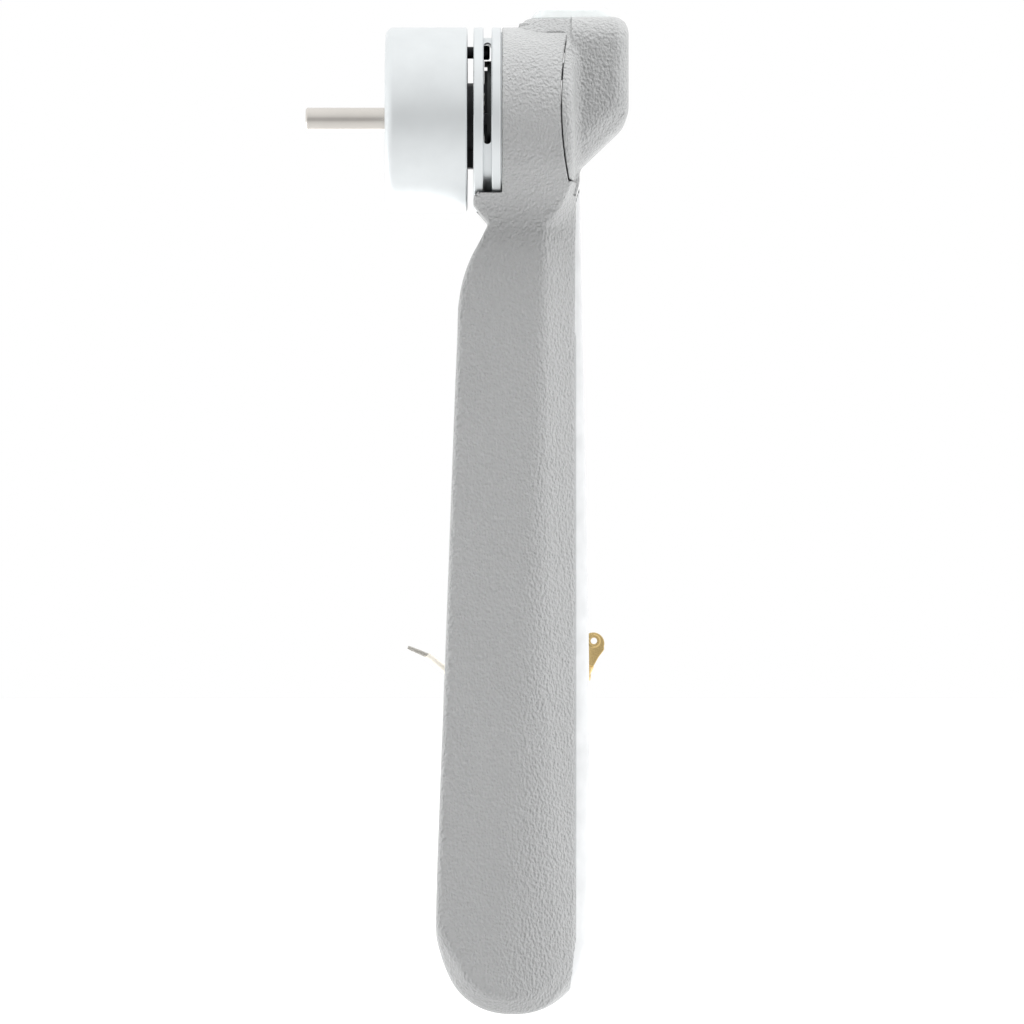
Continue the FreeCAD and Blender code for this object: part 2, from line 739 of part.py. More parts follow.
def head_block():
    """The block that carries the button: round shoulders, a slanted underside with chamfered sides."""
    foot = LENS_FRONT - 1
    across = box(foot, BLOCK_FRONT, -BLOCK_HALF, BLOCK_HALF, -20, BEZEL_TOP)
    shoulders = [e for e in across.Edges if e.BoundBox.XLength > 1 and e.CenterOfMass.z > 0]
    across = across.makeFillet(BLOCK_SHOULDER_R, shoulders)
    along = polygon_y(
        [(foot, BEZEL_TOP), (BLOCK_FRONT, BEZEL_TOP), (BLOCK_FRONT, -1.0), (48.4, -12.6), (foot, -14.0)],
        -BLOCK_HALF,
        BLOCK_HALF,
    )
    rear = [e for e in along.Edges if e.BoundBox.YLength > 1 and e.CenterOfMass.x > BLOCK_FRONT - 0.1]
    along = along.makeFillet(BLOCK_CORNER_R, rear)
    plan = box(foot, BLOCK_FRONT, -BLOCK_HALF, BLOCK_HALF, -20, 30)
    upright = [e for e in plan.Edges if e.BoundBox.ZLength > 1 and e.CenterOfMass.x > BLOCK_FRONT - 0.1]
    plan = plan.makeFillet(BLOCK_SIDE_R, upright)
    block = across.common(along).common(plan)
    low, high = V(44.2, 0, -16.6), V(64.8, 0, 3.0)
    inward = V(-(high.z - low.z), 0, high.x - low.x)
    inward.normalize()
    for y in (1, -1):
        corners = [
            V(0, y * (BLOCK_HALF + 1), 0) - inward,
            V(0, y * (BLOCK_HALF + 1), 0) + inward * (BLOCK_CHAMFER + 1),
            V(0, y * (BLOCK_HALF - BLOCK_CHAMFER - 1), 0) - inward,
        ]
        face = Part.Face(Part.makePolygon([low + c for c in corners] + [low + corners[0]]))
        block = block.cut(face.extrude(high - low))
    return block


def bezel():
    """The plateau round the button, sloping down to the head at its sides and its end."""
    low = pill_wire(BEZEL_BACK - 2.5, BLOCK_FRONT - 1.8, BEZEL_HALF + 3.4, 20.6)
    high = pill_wire(BEZEL_BACK + 2.1, BLOCK_FRONT - 2.8, BEZEL_HALF - 0.6, BEZEL_TOP)
    slope = Part.makeLoft([low, high], True, True)
    return slope.fuse(pill(BEZEL_BACK + 0.5, BLOCK_FRONT - 3, BEZEL_HALF, 17.3, 21.4))


def head_cover():
    lens = along_x(HEAD_R, PARTING_X - 1, LENS_FRONT)
    rim = [e for e in lens.Edges if e.CenterOfMass.x > LENS_FRONT - 0.01 and len(e.Vertexes) == 1]
    lens = lens.makeFillet(2.6, rim)
    lens = lens.common(box(0, 70, -30, 30, COVER_BOTTOM + PARTING_GAP, 40))
    tail = box(44.2, GRIP_REAR_TOP[0] - 0.1, -8.0, 8.0, COVER_BOTTOM - 3.0, COVER_BOTTOM + 4)
    cover = lens.fuse([head_block(), tail, bezel()])
    # Everything in front of the parting surface goes, except the bezel's tongue over the head.
    front = box(0, PARTING_X + 10, -40, 40, -40, 40).cut(parting_cylinder(-PARTING_GAP))
    tongue = box(BEZEL_BACK, 70, -BEZEL_HALF, BEZEL_HALF, 17.2, 40)
    over_head = tongue.fuse(bezel().cut(along_x(HEAD_R, 0, 70)))
    front = front.cut(over_head).cut(box(0, 70, -30, 30, -40, COVER_BOTTOM + 0.1))
    cover = cover.cut(front)
    cavity = polygon_y(
        [(40, 16.6), (BLOCK_FRONT - 2.4, 16.6), (BLOCK_FRONT - 2.4, -0.2), (50.2, -8.2), (40, -8.2)],
        -BLOCK_HALF + 2.4,
        BLOCK_HALF - 2.4,
    )
    for y, z in COVER_SCREW_PLACES:
        boss = along_x(3.2, 40, HEAD_BACK + 24, y, z)
        cavity = cavity.cut(boss)
    cover = cover.cut(cavity)
    well = pill(CAP_BACK - WELL_GAP, CAP_FRONT + WELL_GAP, CAP_HALF + WELL_GAP, WELL_FLOOR, 40)
    cover = cover.cut(well).cut(Part.makeCylinder(2.3, 10, V(STEM_X, 0, 12)))
    for y, z in COVER_SCREW_PLACES:
        cover = cover.cut(along_x(COVER_SCREW_R, HEAD_BACK, HEAD_BACK + 22, y, z))
    return cover.removeSplitter()


def cover_screws():
    return joined([countersunk_screw(HEAD_BACK, 22, COVER_SCREW_R, y, z) for y, z in COVER_SCREW_PLACES])


def button_board():
    return box(48.0, 57.6, -8.6, 8.6, SWITCH_BOARD_Z, SWITCH_BOARD_Z + 1.6)


def push_switch():
    top = SWITCH_BOARD_Z + 1.6
    body = box(STEM_X - 1.9, STEM_X + 4.1, -3, 3, top, STEM_TIP - BUTTON_TRAVEL - 0.6)
    return body.fuse(Part.makeCylinder(1.4, 1.5, V(STEM_X, 0, STEM_TIP - BUTTON_TRAVEL - 1.6)))


def button_cap():
    """The translucent cap: upright in its well, tapered where it stands proud."""
    skirt = pill(CAP_BACK, CAP_FRONT, CAP_HALF, CAP_LOW, BEZEL_TOP)
    low = pill_wire(CAP_BACK, CAP_FRONT, CAP_HALF, BEZEL_TOP)
    high = pill_wire(CAP_BACK + CAP_TAPER, CAP_FRONT - CAP_TAPER, CAP_HALF - CAP_TAPER, CAP_TOP)
    top = Part.makeLoft([low, high], True, True)
    hollow = pill(CAP_BACK + 1.4, CAP_FRONT - 1.4, CAP_HALF - 1.4, CAP_LOW, CAP_TOP - 1.8)
    cap = skirt.fuse(top).removeSplitter().cut(hollow)
    return cap


def pill_wire(x0, x1, half, z):
    a, b = x0 + half, x1 - half
    return Part.Wire(
        [
            line((a, -half, z), (b, -half, z)),
            arc((b, -half, z), (x1, 0, z), (b, half, z)),
            line((b, half, z), (a, half, z)),
            arc((a, half, z), (x0, 0, z), (a, -half, z)),
        ]
    )


def button_stem():
    return Part.makeCylinder(2.0, CAP_TOP - 1.8 - STEM_TIP, V(STEM_X, 0, STEM_TIP))


def button_spring():
    return coil(2.9, 0.3, CAP_TOP - 1.8 - WELL_FLOOR, 4, (STEM_X, 0, WELL_FLOOR), (0, 0, 1))


# ---- Leads ----


def lead_strands():
    """The stripped end: a bundle of tinned wires, one in the middle and six round it."""
    start = V(*WHITE_ROUTE[-1])
    ahead = V(-5.1, 0.0, 2.2)
    ahead.normalize()
    across = V(0, 1, 0)
    third = ahead.cross(across)
    length = 5.6
    bundle = [Part.makeCylinder(0.2, length, start, ahead)]
    for i in range(6):
        angle = math.radians(60 * i)
        offset = across * (0.42 * math.cos(angle)) + third * (0.42 * math.sin(angle))
        shorter = 0.25 * (i % 3)
        bundle.append(Part.makeCylinder(0.2, length - shorter, start + offset, ahead))
    return joined(bundle)


TERMINAL_EYE = (52.0, 13.0, -131.2)
TERMINAL_R = 2.8
TERMINAL_T = 0.8


def brass_terminal():
    """A ring tongue on a crimp barrel that holds the lead's end; its axis runs from barrel to eye."""
    foot, eye = V(*BRASS_ROUTE[-1]), V(*TERMINAL_EYE)
    ahead = eye - foot
    reach = ahead.Length
    ahead.normalize()
    across = V(ahead.z, 0, -ahead.x)
    thick = V(0, TERMINAL_T, 0)
    near = -thick * 0.5
    ring = Part.makeCylinder(TERMINAL_R, TERMINAL_T, eye + near, V(0, 1, 0))
    corners = [(2.6, 1.0), (2.6, -1.0), (reach - 1.0, -2.6), (reach - 1.0, 2.6)]
    ring_points = [foot + near + ahead * u + across * v for u, v in corners]
    tongue = Part.Face(Part.makePolygon(ring_points + ring_points[:1])).extrude(thick)
    barrel = Part.makeCylinder(1.35, 3.6, foot, ahead)
    terminal = ring.fuse([tongue, barrel]).removeSplitter()
    return terminal.cut(Part.makeCylinder(0.8, 4, eye + ahead * 0.9 - V(0, 2, 0), V(0, 1, 0)))


NODES = {
    "rosette_housing": rosette_housing,
    "front_bush": front_bush,
    "detent_ring": detent_ring,
    "bearing_flange": bearing_flange,
    "flange_screws": flange_screws,
    "rear_bush": rear_bush,
    "stop_pin": stop_pin,
    "sensor_magnet": sensor_magnet,
    "spindle": spindle,
    "detent_rotor": detent_rotor,
    "rotor_pin": rotor_pin,
    "detent_balls": detent_balls,
    "detent_springs": detent_springs,
    "spool_front_disc": spool_front_disc,
    "spool_drum": spool_drum,
    "spool_rear_disc": spool_rear_disc,
    "spool_screws": spool_screws,
    "sensor_board": sensor_board,
    "board_chips": board_chips,
    "grip_shell": grip_shell,
    "rear_cover": rear_cover,
    "lever_core": lever_core,
    "core_screws": core_screws,
    "spindle_washer": spindle_washer,
    "spindle_screw": spindle_screw,
    "head_cover": head_cover,
    "cover_screws": cover_screws,
    "button_board": button_board,
    "push_switch": push_switch,
    "button_cap": button_cap,
    "button_stem": button_stem,
    "button_spring": button_spring,
    "link_cable": lambda: routed_tube("link_cable", LINK_ROUTE, LINK_R),
    "white_lead": lambda: routed_tube("white_lead", WHITE_ROUTE, LEAD_R),
    "lead_strands": lead_strands,
    "brass_lead": lambda: routed_tube("brass_lead", BRASS_ROUTE, LEAD_R),
    "brass_terminal": brass_terminal,
}

os.makedirs("parts", exist_ok=True)
for node, make in NODES.items():
    shape = make()
    print(node, "solids", len(shape.Solids), "valid", shape.isValid(), "volume %.1f" % shape.Volume)
    shape.exportStep("parts/" + node + ".step")
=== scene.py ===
import itertools
import json
import math

import bpy
import numpy as np
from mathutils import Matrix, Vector


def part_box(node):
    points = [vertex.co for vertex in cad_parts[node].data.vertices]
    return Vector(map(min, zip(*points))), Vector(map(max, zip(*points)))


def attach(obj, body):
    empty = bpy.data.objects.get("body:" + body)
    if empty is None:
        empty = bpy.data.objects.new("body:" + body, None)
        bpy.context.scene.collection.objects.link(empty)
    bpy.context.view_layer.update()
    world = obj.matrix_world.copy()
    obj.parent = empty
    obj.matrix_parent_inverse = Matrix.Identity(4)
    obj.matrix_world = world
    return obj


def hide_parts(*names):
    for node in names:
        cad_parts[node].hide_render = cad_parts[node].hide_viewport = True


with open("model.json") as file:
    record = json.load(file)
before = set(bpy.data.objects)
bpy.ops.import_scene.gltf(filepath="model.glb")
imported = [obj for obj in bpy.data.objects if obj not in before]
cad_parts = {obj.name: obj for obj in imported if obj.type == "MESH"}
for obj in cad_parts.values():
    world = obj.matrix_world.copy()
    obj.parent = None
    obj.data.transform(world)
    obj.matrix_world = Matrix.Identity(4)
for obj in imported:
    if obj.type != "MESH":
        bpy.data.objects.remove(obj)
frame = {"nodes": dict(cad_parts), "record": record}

# The lever handle of a window sash, dressed for a picture. Blender works in metres; the shapes below are
# worked out in millimetres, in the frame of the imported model, and MM turns them into metres.

MM = 0.001
SHARP = math.radians(50)
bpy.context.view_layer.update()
NODES = frame["nodes"]
SLOT_OF = {part["node"]: part["material_slot"] for part in frame["record"]["subparts"]}


def low(node):
    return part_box(node)[0] / MM


# ---- Camera: level with the middle of the handle, square to its side ----

CAMERA_DISTANCE = 2.0
FIELD = 0.256
SENSOR = 36.0


def make_camera():
    data = bpy.data.cameras.new("camera")
    data.sensor_width = SENSOR
    data.lens = SENSOR * CAMERA_DISTANCE / FIELD
    camera = bpy.data.objects.new("camera", data)
    camera.location = (0.03155, -CAMERA_DISTANCE, -0.0981)
    camera.rotation_euler = (math.pi / 2, 0, 0)
    bpy.context.scene.collection.objects.link(camera)
    bpy.context.scene.camera = camera


make_camera()


# ---- Leads: from the drum's window down behind the grip ----

LEAD_DIAMETER = 0.002
WHITE_ROUTE = [
    (25.45, 13.4, 6.5),
    (25.45, 23.0, 6.5),
    (25.6, 31.5, 1.5),
    (25.8, 34.5, -8.5),
    (26.2, 32.0, -22.0),
    (27.2, 26.0, -43.0),
    (29.5, 20.5, -68.0),
    (32.5, 17.5, -92.0),
    (35.5, 16.5, -114.0),
    (36.3, 16.3, -129.0),
    (33.0, 16.2, -139.5),
    (26.0, 16.1, -144.0),
    (18.6, 16.0, -141.0),
    (14.25, 16.0, -137.5),
    (10.15, 16.0, -134.25),
]
BRASS_ROUTE = [
    (25.45, 13.4, 3.3),
    (25.45, 21.6, 3.3),
    (25.8, 28.8, -1.4),
    (26.9, 31.2, -10.4),
    (28.9, 28.6, -23.0),
    (31.6, 23.0, -42.0),
    (34.2, 17.6, -66.0),
    (35.0, 14.6, -91.0),
    (33.6, 13.3, -115.0),
    (33.4, 13.0, -134.0),
    (35.2, 13.0, -149.0),
    (41.0, 13.0, -158.4),
    (47.9, 13.0, -158.2),
    (51.1, 13.0, -151.4),
    (50.2, 13.0, -144.8),
    (49.9, 13.0, -140.3),
]


def make_lead(name, node, route):
    data = bpy.data.curves.new(name, "CURVE")
    data.dimensions = "3D"
    data.bevel_depth = 1.0
    data.bevel_resolution = 6
    data.resolution_u = 16
    data.use_fill_caps = True
    spline = data.splines.new("NURBS")
    spline.points.add(len(route) - 1)
    for point, (x, y, z) in zip(spline.points, route):
        point.co = (x * MM, y * MM, z * MM, 1)
        point.radius = LEAD_DIAMETER / 2
    spline.order_u = 3
    spline.use_endpoint_u = True
    lead = bpy.data.objects.new(name, data)
    bpy.context.scene.collection.objects.link(lead)
    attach(lead, "lever")
    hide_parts(node)
    return lead


white_lead = make_lead("white_lead_wire", "white_lead", WHITE_ROUTE)
brass_lead = make_lead("brass_lead_wire", "brass_lead", BRASS_ROUTE)


# ---- Solids from distance fields: negative inside, in millimetres ----


def convex(a, b, radius):
    """What lies in both a and b, with the edge between them rounded."""
    u, v = a + radius, b + radius
    outside = np.hypot(np.maximum(u, 0), np.maximum(v, 0))
    return np.minimum(np.maximum(u, v), 0) + outside - radius


def concave(a, b, radius):
    """What lies in a or b, with a fillet between them."""
    return -convex(-a, -b, radius)


def without(a, b, radius):
    """What lies in a and not in b, with the cut's edge rounded."""
    return convex(a, -b, radius)


def soft_crease(a, b, width):
    """What lies in both a and b, where they meet at a very blunt edge."""
    return np.maximum(a, b) + np.maximum(width - np.abs(a - b), 0) ** 2 / (4 * width)


def smooth_through(points, at):
    """A smooth curve through (place, value) points, read at other places; straight past its ends."""
    points = np.array(sorted(points), float)
    place, value = points[:, 0], points[:, 1]
    step = np.diff(place)
    chord = np.diff(value) / step
    inner = (chord[:-1] * step[1:] + chord[1:] * step[:-1]) / (step[1:] + step[:-1])
    slope = np.concatenate([chord[:1], inner, chord[-1:]])
    i = np.clip(np.searchsorted(place, at) - 1, 0, len(step) - 1)
    t = (at - place[i]) / step[i]
    h = step[i]
    cubic = (
        (2 * t**3 - 3 * t**2 + 1) * value[i]
        + (t**3 - 2 * t**2 + t) * h * slope[i]
        + (3 * t**2 - 2 * t**3) * value[i + 1]
        + (t**3 - t**2) * h * slope[i + 1]
    )
    before = value[0] + (at - place[0]) * slope[0]
    after = value[-1] + (at - place[-1]) * slope[-1]
    return np.where(at < place[0], before, np.where(at > place[-1], after, cubic))


def smooth_step(low_end, high_end, at):
    t = np.clip((at - low_end) / (high_end - low_end), 0, 1)
    return t * t * (3 - 2 * t)


def half_space(point, normal, u, v):
    """Distance past a line in the plane of u and v, along its normal."""
    length = math.hypot(*normal)
    return ((u - point[0]) * normal[0] + (v - point[1]) * normal[1]) / length


def grid_line(*stretches):
    """Places along an axis: (start, end, step) stretches joined end to end."""
    places = [np.linspace(a, b, max(2, round(abs(b - a) / step) + 1)) for a, b, step in stretches]
    return np.unique(np.concatenate(places).round(6))


def field_gradient(field, points):
    """The field at the points and its slope along each axis."""
    reach = 0.02
    slopes = []
    for axis in range(3):
        shift = np.zeros(3)
        shift[axis] = reach
        ahead, behind = (points + shift).T, (points - shift).T
        slopes.append((field(*ahead) - field(*behind)) / (2 * reach))
    return field(*points.T), np.stack(slopes, axis=1)


def surface_points(values, inside, axes, cells):
    """For each cell, the middle of the places where its edges cross the surface."""
    total = np.zeros((len(cells), 3))
    count = np.zeros(len(cells))
    corners = list(itertools.product((0, 1), repeat=3))
    for a in corners:
        for b in corners:
            if sum(b) - sum(a) != 1 or sum(abs(m - n) for m, n in zip(a, b)) != 1:
                continue
            ia, ib = (cells + a).T, (cells + b).T
            fa, fb = values[tuple(ia)], values[tuple(ib)]
            crossing = inside[tuple(ia)] != inside[tuple(ib)]
            t = np.where(crossing, fa / np.where(crossing, fa - fb, 1), 0)
            pa = np.stack([axis[i] for axis, i in zip(axes, ia)], axis=1)
            pb = np.stack([axis[i] for axis, i in zip(axes, ib)], axis=1)
            total += np.where(crossing[:, None], pa + (pb - pa) * t[:, None], 0)
            count += crossing
    return total / count[:, None]


def solid_from_field(name, field, xs, ys, zs):
    """A closed mesh of the field's zero surface, one face across each grid edge that crosses it."""
    axes = (xs, ys, zs)
    values = field(*np.meshgrid(*axes, indexing="ij"))
    inside = values < 0
    cells_shape = tuple(n - 1 for n in inside.shape)
    filled = np.zeros(cells_shape, np.int8)
    for corner in itertools.product((0, 1), repeat=3):
        filled += inside[tuple(slice(c, c + n) for c, n in zip(corner, cells_shape))]
    cells = np.argwhere((filled > 0) & (filled < 8))
    index = np.full(cells_shape, -1)
    index[tuple(cells.T)] = np.arange(len(cells))
    points = surface_points(values, inside, axes, cells)
    step = min(np.diff(axis).min() for axis in axes)
    for _ in range(4):
        distance, slope = field_gradient(field, points)
        move = slope * (distance / np.maximum((slope**2).sum(1), 0.05))[:, None]
        points = points - np.clip(move, -step / 2, step / 2)
    faces = []
    for axis in range(3):
        side, up = (axis + 1) % 3, (axis + 2) % 3
        first = np.moveaxis(inside, axis, 0)[:-1]
        second = np.moveaxis(inside, axis, 0)[1:]
        edges = np.argwhere(np.moveaxis(first != second, 0, axis))
        edges = edges[(edges[:, side] > 0) & (edges[:, up] > 0)]
        ring = []
        for du, dv in ((-1, -1), (0, -1), (0, 0), (-1, 0)):
            around = edges.copy()
            around[:, side] += du
            around[:, up] += dv
            ring.append(index[tuple(around.T)])
        quads = np.stack(ring, axis=1)
        outward = inside[tuple(edges.T)]
        faces.append(np.where(outward[:, None], quads, quads[:, ::-1]))
    return mesh_object(name, points * MM, np.concatenate(faces).tolist())


def mesh_object(name, points, faces):
    mesh = bpy.data.meshes.new(name)
    mesh.from_pydata([tuple(p) for p in points], [], faces)
    mesh.validate()
    mesh.shade_smooth()
    mesh.set_sharp_from_angle(angle=SHARP)
    made = bpy.data.objects.new(name, mesh)
    bpy.context.scene.collection.objects.link(made)
    return made


def stands_for(piece, body, node):
    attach(piece, body)
    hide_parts(node)
    return piece


# ---- Grip, head and covers ----

HEAD_R = 23.0
HEAD_BACK = 29.1
SADDLE_R = 23.45
GRIP_HALF = 11.0
NECK_ANGLE = math.radians(39)
NECK_R = 16.0
NECK_Y = GRIP_HALF + NECK_R
NECK_Z = (NECK_Y * math.cos(NECK_ANGLE) - HEAD_R - NECK_R) / math.sin(NECK_ANGLE)
PARTING_R = 95.0
PARTING_X = 43.6
PARTING_Z = 3.0
PARTING_GAP = 0.28
COVER_BOTTOM = -16.0
STRIP_X = 47.6
STRIP_HALF = 5.0
STRIP_TUCK = 0.6
FOOT_BEVEL = 4.4

# (height, distance along X) down the grip's front; BACK is the same for its back.
BELLY = [
    (-24.4, 27.6),
    (-26.6, 25.7),
    (-30.0, 23.9),
    (-35.1, 21.2),
    (-40.1, 19.4),
    (-46.0, 18.3),
    (-55.0, 17.9),
    (-125.0, 15.25),
    (-192.0, 12.7),
]
FOOT_MIDDLE = (31.8, -200.0)
# (degrees round the foot's middle, distance from it), from the front's side under the foot to the back's.
FOOT = [
    (-180, 19.6),
    (-157, 19.8),
    (-143, 20.8),
    (-128, 22.3),
    (-113, 23.2),
    (-90, 23.4),
    (-66, 23.3),
    (-51, 22.6),
    (-36, 21.4),
    (-22, 20.1),
    (0, 19.5),
]
BACK = [
    (-12.0, 48.45),
    (-21.0, 48.5),
    (-45.0, 49.0),
    (-85.0, 50.0),
    (-110.0, 50.5),
    (-165.0, 51.2),
    (-195.0, 51.0),
]


def head_and_neck(y, z):
    """The outline seen along X: head circle, tangent neck, fillet, flat sides."""
    y = np.abs(y)
    c, s = math.cos(NECK_ANGLE), math.sin(NECK_ANGLE)
    circle = np.hypot(y, z) - HEAD_R
    slant = y * c - z * s - HEAD_R
    hollow = NECK_R - np.hypot(y - NECK_Y, z - NECK_Z)
    flat = y - GRIP_HALF
    neck_end = NECK_Z + NECK_R * s
    return np.select([z > -HEAD_R * s, z > neck_end, z > NECK_Z], [circle, slant, hollow], flat)


def side_profile(x, z):
    """The outline seen along Y: lip under the saddle, waist, belly, round foot, back."""
    lip = convex(21.95 - x, half_space((21.95, -22.0), (-4.4, -3.8), x, z), 0.3)
    front = concave(lip, smooth_through(BELLY, z) - x, 1.2)
    back = x - smooth_through(BACK, z)
    across, down = x - FOOT_MIDDLE[0], np.minimum(z - FOOT_MIDDLE[1], 0)
    angle = np.degrees(np.arctan2(np.minimum(down, -1e-6), across))
    foot = np.hypot(across, down) - smooth_through(FOOT, angle)
    return soft_crease(np.maximum(front, back), foot, 1.0)


def side_facet(x, y, z):
    """The slanted face from each flat side towards the strip along the back."""
    crease = np.interp(z, [-224, -150, -60, -27, -16.4], [36.6, 36.6, 38.9, 39.4, 46.3])
    start = np.interp(z, [-27, -16.4], [11.2, 17.5])
    run = np.interp(z, [-224, -150, -60, -27, -16.4], [10.8, 10.8, 8.5, 8.2, 1.9])
    rise = start - STRIP_HALF
    return (rise * (x - crease) + run * (np.abs(y) - start)) / np.hypot(rise, run)


def crown(x, y, z):
    """The back of the grip: two slants on each side of a narrow flat."""
    beyond = x - np.interp(z, [-60, -27, -16.4], [47.4, 47.6, 48.2])
    lower = half_space((0, STRIP_HALF), (1.5, 1.9), beyond, np.abs(y))
    upper = half_space((1.9, 3.5), (2.9, 1.9), beyond, np.abs(y))
    return np.minimum(soft_crease(lower, upper, 0.6), beyond)


def lever_blank(x, y, z):
    """Head, neck and grip as one body, before the covers are parted off."""
    profile, sides = side_profile(x, z), head_and_neck(y, z)
    body = convex(profile, sides, 0.3 + smooth_step(-23, -34, z))
    bevel = (profile + sides + FOOT_BEVEL * smooth_step(-196, -214, z)) / math.sqrt(2)
    body = convex(body, bevel, 1.0)
    softness = np.interp(z, [-224, -165, -60, -28], [6.0, 3.0, 1.2, 0.7])
    body = soft_crease(body, side_facet(x, y, z), softness)
    return soft_crease(body, crown(x, y, z), 0.8)


def parting(x, z):
    """Distance into the large cylinder that parts the cover from the head."""
    return np.hypot(x - PARTING_X - PARTING_R, z - PARTING_Z) - PARTING_R


def pill(x, y, start, end, half):
    """A slot-shaped outline along X."""
    middle = np.clip(x, start + half, end - half)
    return np.hypot(x - middle, y) - half


def strip_joint(x, z):
    """Distance outside the room of the strip along the grip's back."""
    above = STRIP_X - x
    below = half_space((STRIP_X, -205.0), (-11.6, 1.4), x, z)
    return np.maximum(np.minimum(above, below), half_space((46.2, -216.6), (-6.4, -13.8), x, z))


def strip_end(x, z):
    """Distance past the strip's slanted upper end."""
    return half_space((48.65, -15.7), (-3.9, 1.15), x, z)


LENS_BACK = 47.0
LENS_RIM_R = 2.8
BEZEL_BACK = 33.3
BEZEL_FRONT = 58.4
BEZEL_HALF = 6.2
BEZEL_TOP = 25.2
BEZEL_LOW = 20.2
BLOCK_START = 46.4
BLOCK_FRONT = 60.55
BLOCK_HALF = 15.0
BLOCK_SHOULDER_R = 7.0
BLOCK_SIDE_R = 4.0
BLOCK_CORNER_R = 2.5
BLOCK_CHAMFER = 5.4
BLOCK_WALL = 2.6
TAIL_LOW = -19.05
CAP_BACK = 36.2
CAP_FRONT = 56.9
CAP_HALF = 4.9
CAP_LOW = 21.0
CAP_TOP = 27.5
CAP_TAPER = 1.8
CAP_WALL = 1.4
WELL_GAP = 0.25
WELL_FLOOR = 19.0
STEM_X = 50.0
STEM_HOLE_R = 2.3
CORE_BACK = low("lever_core").x
CORE_LOW = low("lever_core").z


def grip_field(x, y, z):
    shell = lever_blank(x, y, z)
    saddle = np.maximum(np.hypot(y, z) - SADDLE_R, x - HEAD_BACK)
    shell = without(shell, saddle, 0.35 * smooth_step(-17, -12, z) + 0.02)
    shell = np.maximum(shell, -np.maximum(strip_joint(x, z), strip_end(x, z)))
    cover_room = np.maximum(parting(x, z), COVER_BOTTOM - z)
    shell = without(shell, cover_room, 0.3)
    tail_room = np.maximum(np.maximum(44.0 - x, np.abs(y) - 8.3), -19.2 - z)
    shell = without(shell, tail_room, 0.1)
    tongue = np.maximum(pill(x, y, BEZEL_BACK - 0.2, 90, BEZEL_HALF + 0.2), 17 - z)
    shell = without(shell, tongue, 0.25)
    channel = np.maximum(np.maximum(CORE_BACK - x, np.abs(y) - 4.4), np.maximum(CORE_LOW - 6 - z, z))
    seat = np.maximum(CORE_BACK - x, np.hypot(y, z) - 10.5)
    bore = np.hypot(y, z) - 4.05
    return np.maximum(np.maximum(shell, -channel), np.maximum(-seat, -bore))


def strip_field(x, y, z):
    """The crowned cover along the back of the grip, tucked a little way under the grip's edge."""
    strip = lever_blank(x, y, z) + 0.02
    return np.maximum(strip, np.maximum(strip_joint(x + STRIP_TUCK, z), strip_end(x, z) + 0.16))


def cover_block(x, y, z):
    """The block that carries the button: round shoulders, slanted and chamfered underneath."""
    across = np.abs(y) - BLOCK_HALF
    underside = half_space((48.6, -12.3), (0.69, -0.725), x, z)
    chamfer = (underside + across + BLOCK_CHAMFER) / math.sqrt(2)
    block = convex(z - BEZEL_TOP, across, BLOCK_SHOULDER_R)
    block = convex(block, convex(x - BLOCK_FRONT, underside, BLOCK_CORNER_R), BLOCK_SIDE_R)
    block = np.maximum(convex(block, chamfer, 1.6), 40 - x)
    cavity = np.maximum(np.maximum(z - 16.6, x - 58.1), np.maximum(underside, across) + BLOCK_WALL)
    return block, np.maximum(np.maximum(cavity, chamfer + 2.2), -8 - z)


def bezel_slope(x, y, z):
    """The plateau round the button, sloping down to the head at its sides and its end."""
    drop = BEZEL_TOP - z
    slope = pill(x, y, BEZEL_BACK + 2.0 - drop, BEZEL_FRONT, BEZEL_HALF - 0.7 + 0.86 * drop) / 1.3
    return np.maximum(convex(slope, -drop, 0.7), BEZEL_LOW - z)


def cover_field(x, y, z):
    block, cavity = cover_block(x, y, z)
    from_axis = np.hypot(y, z)
    lens = convex(from_axis - HEAD_R, x - LENS_BACK, LENS_RIM_R)
    lens = convex(lens, parting(x, z) + PARTING_GAP, 0.3)
    cover = concave(lens, np.maximum(block, BLOCK_START - x), 2.4)
    in_head = np.where(from_axis < HEAD_R - 0.4, parting(x, z) + 0.2, -9)
    cover = concave(cover, np.maximum(bezel_slope(x, y, z), in_head), 1.0)
    tongue = np.maximum(pill(x, y, BEZEL_BACK, BEZEL_FRONT, BEZEL_HALF), np.maximum(17.2 - z, z - 24))
    cover = np.minimum(cover, tongue)
    cover = convex(cover, COVER_BOTTOM + PARTING_GAP - z, 0.5)
    tail = convex(np.abs(y) - 8.0, x - 48.42, 1.2)
    tail = np.maximum(np.maximum(tail, 44.3 - x), np.maximum(TAIL_LOW - z, z + 8))
    tail = convex(tail, 0.14 - strip_end(x, z), 0.1)
    cover = np.maximum(concave(cover, tail, 0.8), -cavity)
    well = np.maximum(pill(x, y, CAP_BACK, CAP_FRONT, CAP_HALF) - WELL_GAP, WELL_FLOOR - z)
    cover = without(cover, well, 0.25)
    return np.maximum(cover, STEM_HOLE_R - np.maximum(np.hypot(x - STEM_X, y), 12 - z))


def cap_field(x, y, z):
    """The button: upright below the plateau's top, tapered above it, hollow underneath."""
    outline = pill(x, y, CAP_BACK, CAP_FRONT, CAP_HALF)
    cap = outline + np.interp(z, [BEZEL_TOP, CAP_TOP], [0, CAP_TAPER])
    cap = convex(cap, z - CAP_TOP, 0.25)
    cap = convex(cap, CAP_LOW - z, 0.2)
    hollow = np.maximum(outline + CAP_WALL, z - CAP_TOP + 1.8)
    return np.maximum(cap, -hollow)


